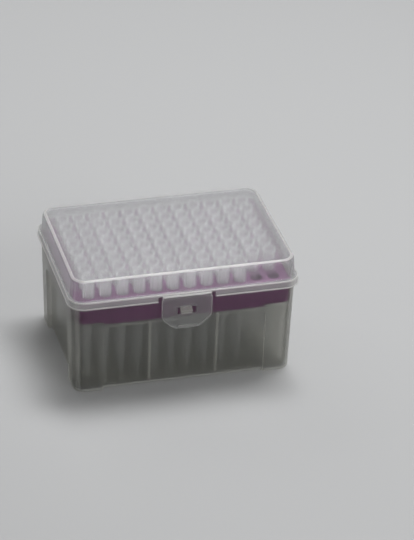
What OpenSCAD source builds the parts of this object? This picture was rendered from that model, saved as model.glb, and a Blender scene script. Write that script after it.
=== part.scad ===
// Rack box of pipette tips: a clear hinged box, a perforated rack inside it and the tips in the rack.
// The origin is the bottom centre of the box. +X runs along the front, +Y to the hinge, +Z up.
// All sizes are in millimetres.

/* [Tip grid] */
// Tips along the front of the box
tip_columns = 12; // [8:1:12]
// Tips from the front to the back of the box
tip_rows = 8; // [4:2:10]
// Distance between neighbouring tips
pitch = 9; // [8.6:0.1:11]
// Empty places at the right end of the front row
empty_count = 2; // [0:1:4]

/* [Tips] */
// Length of a tip
tip_length = 60; // [56:0.5:70]
// Height of a tip that stands above the rack
tip_stand = 10.1; // [8:0.1:14]
// Height of the bead round the mouth
bead_h = 1.2; // [0.8:0.1:2]
// How far the bead stands out past the ribs
bead_out = 0.1; // [0.05:0.05:0.3]
// Outer radius of the collar, just under the bead
collar_r = 3.25; // [3.1:0.05:3.5]
// How much the collar narrows to its lower end
collar_taper = 0.45; // [0.3:0.05:0.6]
// Length of the collar
collar_length = 18.5; // [16:0.5:22]
// Wall of the collar
collar_wall = 0.4; // [0.3:0.05:0.55]
// Ribs round the collar
rib_count = 8; // [4:2:10]
// Width of a rib
rib_w = 0.5; // [0.4:0.05:0.8]
// How far the ribs stand out past the edge of the hole they rest on
rib_seat = 0.35; // [0.2:0.05:0.6]
// Outer radius of the body at the collar
body_r = 2.4; // [2.2:0.05:2.5]
// Distance from the mouth to the ring on the body
ring_at = 31.4; // [28:0.2:36]
// Outer radius of the body at the ring
ring_r = 2.08; // [1.9:0.02:2.2]
// Distance from the mouth to the start of the nose
nose_at = 49.7; // [45:0.2:53]
// Outer radius at the start of the nose
nose_r = 1.2; // [1:0.05:1.5]
// Outer radius at the orifice
orifice_r = 0.5; // [0.4:0.02:0.6]
// Wall of the body and the nose
body_wall = 0.38; // [0.3:0.02:0.5]
// Wall at the orifice
orifice_wall = 0.25; // [0.15:0.05:0.3]

/* [Rack] */
// From the last holes to the short edge of the rack
rack_margin_x = 8.4; // [7:0.1:11]
// From the last holes to the long edge of the rack
rack_margin_y = 8.9; // [7:0.1:11]
// Height of the rack, from the foot of its skirt to its top
rack_height = 12.9; // [10:0.1:18]
// Thickness of the plate
plate_t = 1.6; // [1.2:0.1:2.4]
// Radial room round a tip in its hole
hole_gap = 0.245; // [0.15:0.005:0.35]
// Wall of the skirt
rack_wall = 1.3; // [1.1:0.1:1.8]
// How much higher the skirt ends at the corners
corner_lift = 1.3; // [0.5:0.1:2.5]
// Length of the guide tube under each hole
guide_length = 5; // [2:0.5:7]
// Wall of a guide tube
guide_wall = 0.7; // [0.5:0.05:0.85]
// Thickness of the cross ribs between the guide tubes
cross_rib_w = 0.8; // [0.6:0.1:1.2]

/* [Box] */
// Wall of the box
wall = 1.4; // [1.2:0.1:1.8]
// Thickness of the floor
floor_t = 1.4; // [1:0.1:2.2]
// Height of the four feet
foot_h = 1; // [0.3:0.1:1.5]
// How far a foot runs past its corner post under the box
foot_margin = 1; // [0.5:0.1:3]
// Lean of the walls, in degrees
draft = 1.5; // [0.5:0.1:2]
// Plan radius of the corners at the rim
corner_r = 7; // [5:0.25:9]
// Rounding of the bottom edge
bottom_round = 1.2; // [0.5:0.1:2]
// Room between the rack and the wall
rack_gap = 0.25; // [0.15:0.05:0.6]
// Room between the floor and the end of a tip
tip_end_gap = 0.9; // [0.5:0.1:4]
// Height of the rim above the rack's plate
rim_over_plate = 1.8; // [1:0.1:4]
// Width of a corner post
post_w = 15; // [11:0.5:18]
// Depth of the recessed wall at the front and the back
recess_front = 1.5; // [1.2:0.1:1.8]
// Depth of the recessed wall at the two ends
recess_end = 2.5; // [1.5:0.1:2.8]
// Radius of the recess's upper corners
recess_r = 4.5; // [2:0.5:6]
// Thickness of the ledge that carries the rack
ledge_t = 1.2; // [1:0.1:2]
// Distance of the two stiffening ribs from the middle of the wall
stiffener_x = 18; // [12:0.5:24]
// Width of a stiffening rib
stiffener_w = 1.2; // [0.8:0.1:1.6]
// Height of a stiffening rib above the wall
stiffener_h = 0.7; // [0.4:0.1:1]

/* [Lid] */
// Wall of the lid
lid_wall = 1.2; // [1:0.1:1.6]
// Room over the tips
lid_headroom = 2.3; // [1:0.1:6]
// Gap between the rim and the lid's ledge
lid_seat = 0.1; // [0.05:0.05:0.3]
// How far the skirt hangs below the rim
skirt_overlap = 2.95; // [2:0.05:4]
// Room between the skirt and the ends of the box
skirt_gap_end = 0.42; // [0.3:0.02:0.8]
// Room between the skirt and the front and back of the box
skirt_gap_front = 0.8; // [0.5:0.05:1.2]
// Width of the step from the skirt to the dome at the ends
step_end = 1.4; // [1.2:0.1:2]
// Width of the step from the skirt to the dome at the front and back
step_front = 2.9; // [2:0.1:3.5]
// Lean of the dome's walls, in degrees
dome_draft = 3; // [1:0.25:4]
// Plan radius of the dome's corners
dome_r = 7.5; // [5:0.25:9]
// Rounding of the dome's top edge
dome_round = 2; // [1.4:0.1:3]
// Rounding of the step's outer edge
step_round = 0.6; // [0.3:0.1:0.9]

/* [Latch] */
// Width of the flap
flap_w = 26.6; // [22:0.2:30]
// Room beside the flap in the skirt's cut
flap_side_gap = 2.2; // [0.6:0.1:3]
// Thickness of the flap
flap_t = 1.5; // [1.2:0.1:2]
// Length of the flap below its bend
flap_drop = 19.1; // [17.5:0.1:24]
// Length of the tapered lower end of the flap
flap_taper = 6.2; // [4:0.1:7]
// Width of the flap's lower edge
flap_end_w = 14; // [10:0.5:18]
// Rounding of the flap's outline
flap_round = 1.6; // [0.5:0.1:2]
// Radius of the bead at the bend
bend_r = 0.5; // [0.4:0.02:0.6]
// Gap round the bead
bend_gap = 0.08; // [0.05:0.01:0.1]
// Thickness of the thin web below the bend
web_t = 0.5; // [0.4:0.05:0.8]
// Length of the thin web
web_l = 1.3; // [1.2:0.1:2]
// Width of the window
window_w = 10.4; // [8:0.2:13]
// Height of the window
window_h = 4.8; // [4:0.1:6]
// Distance from the lower edge of the flap to the window
window_up = 7.8; // [7.2:0.1:9]
// Width of the thumb lip
lip_w = 10; // [6:0.5:12]
// How far the thumb lip stands out
lip_out = 1.2; // [0.6:0.1:1.6]
// Thickness of the thumb lip
lip_t = 1.4; // [0.8:0.1:2]
// Distance from the flap's lower edge to the lip
lip_up = 0.7; // [0.4:0.1:1.5]
// Width of the catch
catch_w = 6; // [4:0.2:7]
// Height of the catch
catch_h = 3.3; // [2:0.1:3.4]
// How far the catch reaches into the window
catch_bite = 1; // [0.6:0.1:1.3]
// Gap between the catch and the window's lower edge
catch_gap = 0.4; // [0.2:0.05:0.6]

/* [Hinge] */
// Distance of a hinge from the middle of the box
hinge_x = 32; // [24:0.5:40]
// Radius of the hinge pin
pin_r = 1.1; // [0.9:0.05:1.3]
// Radial room between the pin and the hook
pin_gap = 0.08; // [0.04:0.01:0.1]
// Wall of the hook round the pin
hook_wall = 0.77; // [0.6:0.01:1]
// Width of the hook
hook_w = 8; // [5:0.5:12]
// Width of a lug
lug_w = 2.5; // [1.8:0.1:4]
// Gap between the hook and a lug
lug_gap = 0.3; // [0.2:0.05:0.6]
// Depth of the hinge axis below the rim
hinge_below_rim = 2.05; // [2:0.05:2.6]
// Room between the hook and the wall of the box
hinge_wall_gap = 0.7; // [0.5:0.05:1.2]
// Share of the pin's width that the hook's mouth lets through
mouth_share = 0.78; // [0.7:0.01:0.9]

/* [Hidden] */
// Resolution of true rounds, and of the corners inside a hull
ROUND_FN = 48;
HULL_FN = 32;
// A small overlap that joins two shapes of one moulding, and an overshoot for cuts
WELD = 0.1;
OVER = 2;

// Heights, from the floor up
floor_z = foot_h + floor_t;
tip_end_z = floor_z + tip_end_gap;
tip_top_z = tip_end_z + tip_length;
plate_z = tip_top_z - tip_stand;
ledge_z = plate_z - rack_height;
recess_z = ledge_z - ledge_t;
rim_z = plate_z + rim_over_plate;
step_under_z = rim_z + lid_seat;
step_z = step_under_z + lid_wall;
skirt_z = rim_z - skirt_overlap;
lid_inner_z = tip_top_z + lid_headroom;
lid_top_z = lid_inner_z + lid_wall;

// Half sizes of the rack and of the box, [x, y]
rack_half = [(tip_columns - 1) * pitch / 2 + rack_margin_x,
             (tip_rows - 1) * pitch / 2 + rack_margin_y];
function box_half(z) =
    rack_half + [1, 1] * (rack_gap + wall + (z - ledge_z) * tan(draft));
rim_half = box_half(rim_z);
bottom_half = box_half(0);
recess_half = bottom_half - [post_w, post_w];
rack_corner_r = corner_r - wall - rack_gap;

// Half sizes of the lid, [x, y]
skirt_inner = rim_half + [skirt_gap_end, skirt_gap_front];
skirt_half = skirt_inner + [lid_wall, lid_wall];
skirt_r = corner_r + skirt_gap_end + lid_wall;
dome_half = skirt_half - [step_end, step_front];
dome_slope = tan(dome_draft);

// The tips and their holes
function collar_r_at(s) = collar_r - collar_taper * s / collar_length;
hole_r = collar_r_at(tip_stand) + hole_gap;
guide_r = hole_r + guide_wall;
rib_r = hole_r + rib_seat;
bead_r = rib_r + bead_out;

// The latch: the bend's axis, the flap's faces and the window
bend_y = -skirt_half.y + bend_r / 3;
bend_z = step_under_z - bend_r / 2 - WELD;
flap_cut_half = flap_w / 2 + flap_side_gap;
flap_outer_y = bend_y - flap_t / 2 - bend_r / 6;
flap_inner_y = flap_outer_y + flap_t;
flap_end_z = bend_z - flap_drop;
window_z = flap_end_z + window_up;
catch_z = window_z + catch_gap;

// The hinge
hook_bore_r = pin_r + pin_gap;
hook_r = hook_bore_r + hook_wall;
hinge_y = rim_half.y + hinge_wall_gap + hook_r;
hinge_z = rim_z - hinge_below_rim;
hinge_half = hook_w / 2 + lug_gap + lug_w;

// Node names: the four mouldings, then the front and the rear half of each column of tips
half_names = ["front", "rear"];
function tips_name(column, half) = str("tips_", column < 10 ? "0" : "", column, "_", half);

function column_x(column) = (column - (tip_columns + 1) / 2) * pitch;
function row_y(row) = (row - (tip_rows + 1) / 2) * pitch;
function half_rows(half) = half == "front" ? [1 : tip_rows / 2] : [tip_rows / 2 + 1 : tip_rows];
function has_tip(column, row) = row > 1 || column <= tip_columns - empty_count;

// ---- Shared shapes ----

// A rounded rectangle of the given half sizes
module rounded_plan(half, r) {
    translate([-half.x + r, -half.y]) square([2 * (half.x - r), 2 * half.y]);
    translate([-half.x, -half.y + r]) square([2 * half.x, 2 * (half.y - r)]);
    for (side_x = [-1, 1], side_y = [-1, 1])
        translate([side_x * (half.x - r), side_y * (half.y - r)]) circle(r, $fn = ROUND_FN);
}

// One corner of a lofted block: a disc whose lower edge is rounded, with its foot at z = 0
module corner_disc(r, h, edge) {
    rotate_extrude($fn = HULL_FN)
        polygon(concat([[0, h], [0, 0]],
                       [for (a = [0 : 15 : 90]) [r - edge + edge * sin(a), edge - edge * cos(a)]],
                       [[r, h]]));
}

// A block lofted between two rounded plans. A rounded edge lies at its lower or its upper end.
module lofted_block(low_half, high_half, low_r, high_r, z0, z1, low_edge = 0, high_edge = 0) {
    disc_h = 0.2;
    hull()
        for (side_x = [-1, 1], side_y = [-1, 1]) {
            translate([side_x * (low_half.x - low_r), side_y * (low_half.y - low_r), z0])
                corner_disc(low_r, max(disc_h, low_edge), low_edge);
            translate([side_x * (high_half.x - high_r), side_y * (high_half.y - high_r), z1])
                mirror([0, 0, 1]) corner_disc(high_r, max(disc_h, high_edge), high_edge);
        }
}

// Places children on a leaning wall of the box: x along the wall, y up it, z out of it
module on_wall(turn, reach) {
    rotate([0, 0, turn]) translate([0, -reach, 0]) rotate([90 + draft, 0, 0]) children();
}

// Outline of a recess from below the floor up to its arched top, grown on all sides
module recess_outline(half_w, top, grow = 0) {
    r = recess_r + grow;
    translate([-half_w - grow, -OVER]) square([2 * (half_w + grow), top + grow - r + OVER]);
    translate([-half_w - grow + r, -OVER]) square([2 * (half_w + grow - r), top + grow + OVER]);
    for (side = [-1, 1])
        translate([side * (half_w + grow - r), top + grow - r]) circle(r, $fn = ROUND_FN);
}

// ---- Box ----

// The four walls: [turn about Z, reach at the bottom, half width of the recess, its depth]
box_walls = [
    [0, bottom_half.y, recess_half.x, recess_front],
    [90, bottom_half.x, recess_half.y, recess_end],
    [180, bottom_half.y, recess_half.x, recess_front],
    [270, bottom_half.x, recess_half.y, recess_end]
];

module recess_cuts() {
    for (w = box_walls)
        on_wall(w[0], w[1])
            translate([0, 0, -w[3]]) linear_extrude(w[3] + OVER) recess_outline(w[2], recess_z);
}

// What the recesses leave inside: the inset walls, with a level ledge for the rack on top
module recess_insets() {
    intersection() {
        translate([-rim_half.x, -rim_half.y, -OVER])
            cube([2 * rim_half.x, 2 * rim_half.y, ledge_z + OVER]);
        for (w = box_walls)
            on_wall(w[0], w[1])
                translate([0, 0, -w[3] - wall]) linear_extrude(w[3] + wall + OVER)
                    recess_outline(w[2], recess_z, ledge_t);
    }
}

module stiffeners() {
    for (w = [box_walls[0], box_walls[2]], side = [-1, 1])
        on_wall(w[0], w[1])
            translate([side * stiffener_x - stiffener_w / 2, floor_z - WELD,
                       -w[3] - wall - stiffener_h])
                cube([stiffener_w, recess_z - floor_z, stiffener_h + WELD]);
}

// The lifted underside between the four feet
module foot_cuts() {
    cut = recess_half - [foot_margin, foot_margin];
    for (half = [[cut.x, bottom_half.y + OVER], [bottom_half.x + OVER, cut.y]])
        translate([-half.x, -half.y, -OVER]) cube([2 * half.x, 2 * half.y, foot_h + OVER]);
}

// The wedge on the front wall that the flap's window snaps over
module latch_catch() {
    wall_y = -box_half(catch_z).y;
    tip_y = flap_inner_y - catch_bite;
    translate([-catch_w / 2, 0, 0]) rotate([90, 0, 90])
        linear_extrude(catch_w)
            polygon([[wall_y + wall / 2, catch_z], [tip_y, catch_z], [tip_y, catch_z + catch_h / 2.5],
                     [wall_y, catch_z + catch_h], [wall_y + wall / 2, catch_z + catch_h]]);
}

// One hinge station of the box: two lugs with the pin between them
module hinge_lugs() {
    for (side = [-1, 1])
        translate([side * (hinge_half - lug_w / 2) - lug_w / 2, 0, 0]) {
            translate([0, hinge_y, hinge_z]) rotate([0, 90, 0])
                cylinder(r = hook_r, h = lug_w, $fn = ROUND_FN);
            translate([0, rim_half.y - wall / 2, hinge_z - hook_r])
                cube([lug_w, hinge_y - rim_half.y + wall / 2, 2 * hook_r]);
        }
    translate([-hinge_half + lug_w / 2, hinge_y, hinge_z]) rotate([0, 90, 0])
        cylinder(r = pin_r, h = 2 * hinge_half - lug_w, $fn = ROUND_FN);
}

module base_box() {
    color([0.86, 0.88, 0.9, 0.55]) {
        difference() {
            lofted_block(bottom_half, rim_half, corner_r - bottom_round / 2, corner_r,
                         0, rim_z, low_edge = bottom_round);
            difference() {
                lofted_block(box_half(floor_z) - [wall, wall], box_half(rim_z + OVER) - [wall, wall],
                             corner_r - bottom_round / 2 - wall, corner_r - wall,
                             floor_z, rim_z + OVER);
                recess_insets();
            }
            recess_cuts();
            foot_cuts();
        }
        stiffeners();
        latch_catch();
        for (side = [-1, 1]) translate([side * hinge_x, 0, 0]) hinge_lugs();
    }
}

// ---- Rack ----

module hole_grid(r) {
    for (column = [1 : tip_columns], row = [1 : tip_rows])
        translate([column_x(column), row_y(row)]) circle(r, $fn = ROUND_FN);
}

// Straight ribs that run between the guide tubes from skirt to skirt
module cross_ribs() {
    for (row = [1 : tip_rows])
        translate([-rack_half.x + rack_wall / 2, row_y(row) - cross_rib_w / 2])
            square([2 * rack_half.x - rack_wall, cross_rib_w]);
}

module rack_skirt() {
    difference() {
        translate([0, 0, ledge_z]) linear_extrude(rack_height - plate_t + WELD)
            difference() {
                rounded_plan(rack_half, rack_corner_r);
                rounded_plan(rack_half - [rack_wall, rack_wall], rack_corner_r - rack_wall);
            }
        // The skirt ends higher at the corners, where the box has no ledge
        for (side_x = [-1, 1], side_y = [-1, 1])
            translate([side_x * rack_half.x - (side_x > 0 ? post_w : OVER),
                       side_y * rack_half.y - (side_y > 0 ? post_w : OVER), ledge_z - OVER])
                cube([post_w + OVER, post_w + OVER, corner_lift + OVER]);
    }
}

module rack() {
    color([0.5, 0.36, 0.57]) {
        translate([0, 0, plate_z - plate_t]) linear_extrude(plate_t)
            difference() {
                rounded_plan(rack_half, rack_corner_r);
                hole_grid(hole_r);
            }
        translate([0, 0, plate_z - plate_t - guide_length]) linear_extrude(guide_length + WELD)
            difference() {
                union() {
                    hole_grid(guide_r);
                    cross_ribs();
                }
                hole_grid(hole_r);
            }
        rack_skirt();
    }
}

// ---- Lid ----

module lid_shell() {
    dome_rise = lid_top_z - step_z;
    inner_rise = lid_inner_z - step_under_z;
    dome_inner = dome_half - [lid_wall, lid_wall];
    difference() {
        union() {
            lofted_block(dome_half, dome_half - [1, 1] * dome_rise * dome_slope, dome_r, dome_r,
                         step_z - lid_wall / 2, lid_top_z, high_edge = dome_round);
            lofted_block(skirt_half, skirt_half, skirt_r, skirt_r, skirt_z, step_z,
                         high_edge = step_round);
        }
        lofted_block(dome_inner, dome_inner - [1, 1] * inner_rise * dome_slope,
                     dome_r - lid_wall, dome_r - lid_wall, step_under_z - OVER, lid_inner_z,
                     high_edge = dome_round - lid_wall / 2);
        translate([0, 0, skirt_z - OVER]) linear_extrude(step_under_z - skirt_z + OVER)
            rounded_plan(skirt_inner, skirt_r - lid_wall);
    }
}

// The cut in the skirt that the flap hangs in, with the groove for the flap's bend
module latch_cut() {
    cut_top = bend_z + bend_r / 3;
    translate([-flap_cut_half, -skirt_half.y - OVER, skirt_z - OVER])
        cube([2 * flap_cut_half, lid_wall + OVER + WELD, cut_top - skirt_z + OVER]);
    translate([-flap_cut_half, bend_y, bend_z]) rotate([0, 90, 0])
        cylinder(r = bend_r + bend_gap, h = 2 * flap_cut_half, $fn = ROUND_FN);
}

// The cut in the rear skirt that clears a pair of lugs
module hinge_cut() {
    half_w = hinge_half + lug_gap;
    translate([-half_w, skirt_inner.y - WELD, skirt_z - OVER])
        cube([2 * half_w, lid_wall + OVER, step_under_z - skirt_z + OVER]);
}

// The hook that snaps over the pin. Its mouth looks down when the lid is shut.
module hinge_hook() {
    mouth_w = 2 * pin_r * mouth_share;
    difference() {
        union() {
            translate([-hook_w / 2, hinge_y, hinge_z]) rotate([0, 90, 0])
                cylinder(r = hook_r, h = hook_w, $fn = ROUND_FN);
            translate([-hook_w / 2, skirt_inner.y, step_under_z])
                cube([hook_w, hinge_y + hook_r / 2 - skirt_inner.y, lid_wall]);
            translate([-hook_w / 2, hinge_y - hook_r / 2, hinge_z])
                cube([hook_w, hook_r, step_z - hinge_z - WELD]);
        }
        translate([-hook_w / 2 - OVER, hinge_y, hinge_z]) rotate([0, 90, 0])
            cylinder(r = hook_bore_r, h = hook_w + 2 * OVER, $fn = ROUND_FN);
        translate([-hook_w / 2 - OVER, hinge_y - mouth_w / 2, hinge_z - hook_r - OVER])
            cube([hook_w + 2 * OVER, mouth_w, hook_r + OVER]);
    }
}

module lid() {
    color([0.9, 0.92, 0.94, 0.4]) {
        difference() {
            lid_shell();
            latch_cut();
            for (side = [-1, 1]) translate([side * hinge_x, 0, 0]) hinge_cut();
        }
        for (side = [-1, 1]) translate([side * hinge_x, 0, 0]) hinge_hook();
    }
}

// ---- Latch flap ----

// Outline seen from the front, with y up from the flap's lower edge
module flap_outline() {
    shoulder = flap_taper;
    top = flap_drop - web_l;
    offset(flap_round, $fn = ROUND_FN) offset(delta = -flap_round)
        polygon([[-flap_end_w / 2, 0], [flap_end_w / 2, 0], [flap_w / 2, shoulder], [flap_w / 2, top],
                 [-flap_w / 2, top], [-flap_w / 2, shoulder]]);
}

module latch_flap() {
    color([0.84, 0.87, 0.92, 0.55]) {
        translate([0, flap_inner_y, flap_end_z]) rotate([90, 0, 0]) linear_extrude(flap_t)
            difference() {
                flap_outline();
                translate([-window_w / 2, window_up]) square([window_w, window_h]);
            }
        translate([-lip_w / 2, flap_outer_y - lip_out, flap_end_z + lip_up])
            cube([lip_w, lip_out + WELD, lip_t]);
        translate([-flap_w / 2 + flap_round, bend_y - web_t / 2, bend_z - web_l - WELD])
            cube([flap_w - 2 * flap_round, web_t, web_l + WELD]);
        translate([-flap_w / 2 + flap_round, bend_y, bend_z]) rotate([0, 90, 0])
            cylinder(r = bend_r, h = flap_w - 2 * flap_round, $fn = ROUND_FN);
    }
}

// ---- Tips ----

// Half section of a tip, with its orifice at z = 0
module tip_section() {
    bead_edge = 0.2;
    under_bead = tip_length - bead_h;
    collar_end = tip_length - collar_length;
    ring_z = tip_length - ring_at;
    nose_z = tip_length - nose_at;
    shoulder = 0.6;
    ring_h = 0.5;
    ring_out = 0.08;
    nose_step = 0.15;
    polygon([
        [orifice_r - orifice_wall, 0], [orifice_r, 0], [nose_r - nose_step, nose_z], [nose_r, nose_z + ring_h],
        [ring_r, ring_z], [ring_r + ring_out, ring_z], [ring_r + ring_out, ring_z + ring_h],
        [body_r, collar_end - shoulder], [collar_r - collar_taper, collar_end], [collar_r, under_bead],
        [bead_r, under_bead], [bead_r, tip_length - bead_edge], [bead_r - bead_edge, tip_length],
        [collar_r - collar_wall, tip_length], [collar_r - collar_taper - collar_wall, collar_end],
        [body_r - body_wall, collar_end - 2 * shoulder], [ring_r - body_wall, ring_z],
        [nose_r - body_wall, nose_z]
    ]);
}

module tip() {
    rib_foot = tip_length - tip_stand;
    rib_h = tip_stand - bead_h + WELD;
    rotate_extrude($fn = ROUND_FN) tip_section();
    translate([0, 0, rib_foot]) linear_extrude(rib_h)
        difference() {
            for (i = [0 : rib_count / 2 - 1])
                rotate(i * 360 / rib_count) square([2 * rib_r, rib_w], center = true);
            circle(collar_r_at(tip_stand) - collar_wall / 4, $fn = ROUND_FN);
        }
}

module tips(column, half) {
    color([0.93, 0.94, 0.95])
        for (row = half_rows(half))
            if (has_tip(column, row))
                translate([column_x(column), row_y(row), tip_end_z]) tip();
}

base_box();
rack();
lid();
latch_flap();
for (column = [1 : tip_columns], half = half_names)
    tips(column, half);
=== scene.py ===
"""Looks of a hinged rack box of pipette tips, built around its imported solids.

Every piece stands where its solid stands. Lengths inside the classes are in millimetres, and become
metres when a mesh is handed over to the scene.
"""

import logging
import math
from dataclasses import dataclass, field, replace
from enum import Enum
from typing import Iterable, NamedTuple, Sequence

import bmesh
import bpy
from mathutils import Matrix, Vector


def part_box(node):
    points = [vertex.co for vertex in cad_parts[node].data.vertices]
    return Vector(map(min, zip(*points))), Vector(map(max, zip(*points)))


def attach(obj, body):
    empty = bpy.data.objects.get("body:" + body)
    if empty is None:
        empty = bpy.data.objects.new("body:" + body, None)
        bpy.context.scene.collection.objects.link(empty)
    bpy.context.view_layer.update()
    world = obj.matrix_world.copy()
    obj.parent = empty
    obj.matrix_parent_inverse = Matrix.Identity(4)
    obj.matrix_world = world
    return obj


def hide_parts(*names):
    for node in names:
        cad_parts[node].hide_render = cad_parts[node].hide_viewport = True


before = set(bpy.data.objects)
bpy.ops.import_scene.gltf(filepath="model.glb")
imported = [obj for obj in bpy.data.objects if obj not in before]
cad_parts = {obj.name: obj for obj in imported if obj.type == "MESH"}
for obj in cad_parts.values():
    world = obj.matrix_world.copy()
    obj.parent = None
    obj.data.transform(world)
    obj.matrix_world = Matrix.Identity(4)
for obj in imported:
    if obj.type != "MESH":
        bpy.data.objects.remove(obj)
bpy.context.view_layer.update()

MM = 0.001
# Edges that turn by more than the first are rounded, and the hinge pins and the groove of the flap's bend
# have the second many sides.
EDGE_ANGLE, ROUND = math.radians(32), 48
QUARTER = math.pi / 2
# How far a tool reaches past what it cuts, how far it passes a face that it only has to clear, how deep
# a joined part sinks into the solid it stands on, and how close points are that count as one.
OVER, PAST, SINK, MEET = 2.0, 0.1, 0.2, 0.0001
# The first places an outline drawn in Y and Z so that its extrusion runs along X, the second one drawn
# in X and Z so that its extrusion runs towards the front.
ALONG_X = Matrix(((0, 0, 1, 0), (1, 0, 0, 0), (0, 1, 0, 0), (0, 0, 0, 1)))
ALONG_Y = Matrix(((1, 0, 0, 0), (0, 0, -1, 0), (0, 1, 0, 0), (0, 0, 0, 1)))
log = logging.getLogger("tip_box")

Loop = list[bmesh.types.BMVert]
Plan = tuple[float, float]
Colour = tuple[float, float, float]
Piece = bpy.types.Object
Tree = bpy.types.NodeTree
Socket = bpy.types.NodeSocket
Material = bpy.types.Material


class Body(Enum):
    """The bodies that pieces ride on."""

    BASE = "base"
    LID = "lid"
    LATCH = "latch"


class Slot(Enum):
    """The record's material slots."""

    BOX = "box_clear"
    LID = "lid_clear"
    RACK = "rack_purple"
    TIP = "tip_clear"


class Face(Enum):
    """The finishes on one clear moulding, by material index. The edge finish is a milkier, brighter copy of
    the plastic: painted glow and painted highlight lines along edges.
    """

    WALL = 0
    # A milkier, brighter copy of the plastic: painted glow and painted highlight lines.
    EDGE = 1
    THICK = 2
    TOP = 3


class Cut(Enum):
    """How a tool changes the solid it meets."""

    REMOVE = "DIFFERENCE"
    JOIN = "UNION"


class Half(Enum):
    """The halves that a column of tips is grouped by."""

    FRONT = "front"
    REAR = "rear"


# ---- Sizes that several pieces share ----


def node_span(node: str) -> tuple[Vector, Vector]:
    """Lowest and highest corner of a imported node, in millimetres."""
    low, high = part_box(node)
    return low / MM, high / MM


@dataclass(frozen=True)
class Layout:
    """Sizes that the pieces share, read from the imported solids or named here."""

    rack_half: Plan
    ledge_z: float
    plate_z: float
    rim_z: float
    skirt_z: float
    lid_top_z: float
    tip_end_z: float
    lid_h: float = 14.75
    columns: int = 12
    rows: int = 8
    pitch: float = 9.0
    wall: float = 1.4
    lid_wall: float = 1.2
    lid_seat: float = 0.1
    rack_gap: float = 0.25
    draft: float = math.radians(1.5)
    corner: float = 7.0
    hole_r: float = 3.25
    hinge_x: float = 32.0
    pin_r: float = 1.1
    hook_bore_r: float = 1.18
    hook_r: float = 1.95
    lug_w: float = 2.5
    lug_gap: float = 0.3
    hook_w: float = 8.0
    hinge_wall_gap: float = 0.7
    hinge_below_rim: float = 2.05

    @classmethod
    def from_frame(cls) -> "Layout":
        """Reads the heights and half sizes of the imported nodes.

        Returns:
            The layout.
        """
        rack_low, rack_high = node_span("rack")
        lid_top_z = node_span("lid")[1].z
        return cls(
            rack_half=(rack_high.x, rack_high.y),
            ledge_z=rack_low.z,
            plate_z=rack_high.z,
            rim_z=node_span("base_box")[1].z,
            skirt_z=lid_top_z - cls.lid_h,
            lid_top_z=lid_top_z,
            tip_end_z=node_span("tips_01_front")[0].z,
        )

    def box_half(self, z: float) -> Plan:
        """Outer half sizes of the box at a height."""
        grow = self.rack_gap + self.wall + (z - self.ledge_z) * math.tan(self.draft)
        return self.rack_half[0] + grow, self.rack_half[1] + grow

    @property
    def step_under_z(self) -> float:
        """Underside of the lid's step, which rests over the rim."""
        return self.rim_z + self.lid_seat

    @property
    def step_z(self) -> float:
        """Top of the lid's step."""
        return self.step_under_z + self.lid_wall

    @property
    def hinge(self) -> Plan:
        """The hinge axis, as its Y and Z."""
        y = self.box_half(self.rim_z)[1] + self.hinge_wall_gap + self.hook_r
        return y, self.rim_z - self.hinge_below_rim

    @property
    def hinge_half(self) -> float:
        """Half the width of one hinge station."""
        return self.hook_w / 2 + self.lug_gap + self.lug_w

    def place(self, column: int, row: int) -> Plan:
        """Middle of a place in the grid, both counted from 1."""
        x = (column - (self.columns + 1) / 2) * self.pitch
        return x, (row - (self.rows + 1) / 2) * self.pitch


# ---- Mesh work ----


@dataclass(frozen=True)
class Ring:
    """One level of a shell: a rounded rectangle at a height."""

    half_x: float
    half_y: float
    corner: float
    z: float

    def inset(self, by: float, z: float) -> "Ring":
        """The same outline drawn in by a distance, at another height."""
        return Ring(self.half_x - by, self.half_y - by, self.corner - by, z)

    def points(self, steps: int) -> list[Vector]:
        """Points of the outline, counter-clockwise from the rear right corner.

        Args:
            steps: Number of faces in each corner.

        Returns:
            The points.
        """
        x, y = self.half_x - self.corner, self.half_y - self.corner
        points = []
        for i, middle in enumerate(rectangle((x, y), (-x, -y))):
            points += arc(middle, self.corner, 90 * i, 90 * (i + 1), steps)
        return [Vector((*point, self.z)) for point in points]


def arc(centre: Plan, radius: float, start: float, end: float, steps: int) -> list[Plan]:
    """Points on an arc between two angles in degrees, both included, with a number of chords between them."""
    angles = [math.radians(start + (end - start) * i / steps) for i in range(steps + 1)]
    return [(centre[0] + radius * math.cos(angle), centre[1] + radius * math.sin(angle)) for angle in angles]


def circle(centre: Plan, radius: float, count: int) -> list[Plan]:
    """A number of points spread round a circle, counter-clockwise."""
    return arc(centre, radius, 0, 360 - 360 / count, count - 1)


def quarter_round(radius: float, steps: int) -> list[Plan]:
    """Points of a rounded edge as (inset, drop), from (radius, 0) to (0, radius), with a number of chords."""
    angles = [QUARTER * i / steps for i in range(steps + 1)]
    return [(radius * (1 - math.sin(angle)), radius * (1 - math.cos(angle))) for angle in angles]


def rounded_outline(corners: Sequence[tuple[float, float, float]], steps: int = 8) -> list[Plan]:
    """Rounds the corners of a polygon.

    Args:
        corners: The corners as (x, y, radius), counter-clockwise.
        steps: Number of chords in each rounded corner.

    Returns:
        The points of the rounded outline.
    """
    points = []
    for before, (x, y, radius), after in zip(corners[-1:] + corners[:-1], corners, corners[1:] + corners[:1]):
        start = math.atan2(y - before[1], x - before[0])
        turn = (math.atan2(after[1] - y, after[0] - x) - start) % (4 * QUARTER)
        side = Vector((math.sin(start), -math.cos(start)))
        back = Vector((math.cos(start), math.sin(start))) * math.tan(turn / 2)
        middle = Vector((x, y)) - (side + back) * radius
        first = math.degrees(start) - 90
        points += arc(middle, radius, first, first + math.degrees(turn), steps)
    return points


def rectangle(low: Plan, high: Plan) -> list[Plan]:
    """A rectangle between two corners, counter-clockwise."""
    return [low, (high[0], low[1]), high, (low[0], high[1])]


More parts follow.
